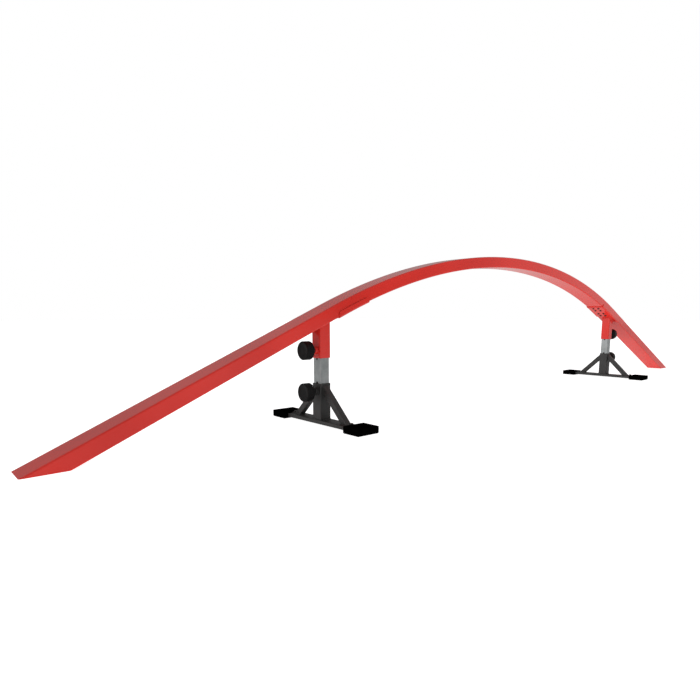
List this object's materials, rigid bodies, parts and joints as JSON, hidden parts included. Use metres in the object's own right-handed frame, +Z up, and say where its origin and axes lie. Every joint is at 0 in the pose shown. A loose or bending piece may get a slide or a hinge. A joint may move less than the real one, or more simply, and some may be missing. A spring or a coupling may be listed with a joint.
{
  "type": "arched grind rail",
  "caption": "Arched rectangular steel rail with straight end ramps and bolted splices, carried on telescoping legs with clamp knobs, braced cross bars and rubber feet.",
  "frame": {"origin": "on the ground, under the middle of the arch", "axes": "+Z up, +X along the rail towards side b, +Y across the rail towards the rear feet"},
  "size_m": [3.74, 0.441, 0.5836],
  "materials": {
    "red_paint": "gloss red paint",
    "zinc_steel": "bright zinc plate",
    "black_steel": "satin black powder coat",
    "black_plastic": "moulded black plastic",
    "black_rubber": "moulded black rubber",
    "black_bolt": "black oxide"
  },
  "bodies": {
    "rail": {"arch_rail": "red_paint", "ramp_rail_a": "red_paint", "ramp_end_plate_a": "red_paint", "splice_channel_a": "red_paint", "splice_spigot_a": "zinc_steel", "splice_bolt_a_1": "black_bolt", "splice_bolt_a_2": "black_bolt", "splice_bolt_a_3": "black_bolt", "splice_bolt_a_4": "black_bolt", "splice_bolt_a_5": "black_bolt", "splice_bolt_a_6": "black_bolt", "splice_bolt_a_7": "black_bolt", "splice_bolt_a_8": "black_bolt", "leg_sleeve_a": "red_paint", "sleeve_nut_a": "red_paint", "ramp_rail_b": "red_paint", "ramp_end_plate_b": "red_paint", "splice_channel_b": "red_paint", "splice_spigot_b": "zinc_steel", "splice_bolt_b_1": "black_bolt", "splice_bolt_b_2": "black_bolt", "splice_bolt_b_3": "black_bolt", "splice_bolt_b_4": "black_bolt", "splice_bolt_b_5": "black_bolt", "splice_bolt_b_6": "black_bolt", "splice_bolt_b_7": "black_bolt", "splice_bolt_b_8": "black_bolt", "leg_sleeve_b": "red_paint", "sleeve_nut_b": "red_paint"},
    "post_a": {"leg_post_a": "zinc_steel"},
    "base_a": {"base_tube_a": "black_steel", "base_nut_a": "black_steel", "base_bar_a": "black_steel", "base_brace_a_front": "black_steel", "base_bolt_a_front": "black_bolt", "foot_a_front": "black_rubber", "base_brace_a_rear": "black_steel", "base_bolt_a_rear": "black_bolt", "foot_a_rear": "black_rubber"},
    "sleeve_screw_a": {"sleeve_screw_a": "zinc_steel"},
    "sleeve_knob_a": {"sleeve_knob_a": "black_plastic"},
    "base_screw_a": {"base_screw_a": "zinc_steel"},
    "base_knob_a": {"base_knob_a": "black_plastic"},
    "post_b": {"leg_post_b": "zinc_steel"},
    "base_b": {"base_tube_b": "black_steel", "base_nut_b": "black_steel", "base_bar_b": "black_steel", "base_brace_b_front": "black_steel", "base_bolt_b_front": "black_bolt", "foot_b_front": "black_rubber", "base_brace_b_rear": "black_steel", "base_bolt_b_rear": "black_bolt", "foot_b_rear": "black_rubber"},
    "sleeve_screw_b": {"sleeve_screw_b": "zinc_steel"},
    "sleeve_knob_b": {"sleeve_knob_b": "black_plastic"},
    "base_screw_b": {"base_screw_b": "zinc_steel"},
    "base_knob_b": {"base_knob_b": "black_plastic"}
  },
  "joints": [
    {"name": "post_slide_a", "type": "slide", "parent": "rail", "child": "post_a", "axis": [0, 0, 1], "range_m": [-0.042, 0.018]},
    {"name": "base_slide_a", "type": "slide", "parent": "post_a", "child": "base_a", "axis": [0, 0, 1], "range_m": [-0.042, 0.034]},
    {"name": "sleeve_screw_travel_a", "type": "slide", "parent": "rail", "child": "sleeve_screw_a", "axis": [-1, 0, 0], "range_m": [0, 0.003]},
    {"name": "sleeve_knob_turn_a", "type": "hinge", "parent": "sleeve_screw_a", "child": "sleeve_knob_a", "pos_m": [-1.067, 0, 0.238], "axis": [-1, 0, 0], "range_deg": [0, 720]},
    {"name": "base_screw_travel_a", "type": "slide", "parent": "base_a", "child": "base_screw_a", "axis": [-1, 0, 0], "range_m": [0, 0.003]},
    {"name": "base_knob_turn_a", "type": "hinge", "parent": "base_screw_a", "child": "base_knob_a", "pos_m": [-1.067, 0, 0.108], "axis": [-1, 0, 0], "range_deg": [0, 720]},
    {"name": "post_slide_b", "type": "slide", "parent": "rail", "child": "post_b", "axis": [0, 0, 1], "range_m": [-0.042, 0.018]},
    {"name": "base_slide_b", "type": "slide", "parent": "post_b", "child": "base_b", "axis": [0, 0, 1], "range_m": [-0.042, 0.034]},
    {"name": "sleeve_screw_travel_b", "type": "slide", "parent": "rail", "child": "sleeve_screw_b", "axis": [1, 0, 0], "range_m": [0, 0.003]},
    {"name": "sleeve_knob_turn_b", "type": "hinge", "parent": "sleeve_screw_b", "child": "sleeve_knob_b", "pos_m": [1.067, 0, 0.238], "axis": [1, 0, 0], "range_deg": [0, 720]},
    {"name": "base_screw_travel_b", "type": "slide", "parent": "base_b", "child": "base_screw_b", "axis": [1, 0, 0], "range_m": [0, 0.003]},
    {"name": "base_knob_turn_b", "type": "hinge", "parent": "base_screw_b", "child": "base_knob_b", "pos_m": [1.067, 0, 0.108], "axis": [1, 0, 0], "range_deg": [0, 720]}
  ],
  "couplings": [
    {"joint": "sleeve_knob_turn_a", "follows": "sleeve_screw_travel_a", "rad_per_m": 4188.8},
    {"joint": "base_knob_turn_a", "follows": "base_screw_travel_a", "rad_per_m": 4188.8},
    {"joint": "sleeve_knob_turn_b", "follows": "sleeve_screw_travel_b", "rad_per_m": 4188.8},
    {"joint": "base_knob_turn_b", "follows": "base_screw_travel_b", "rad_per_m": 4188.8}
  ]
}
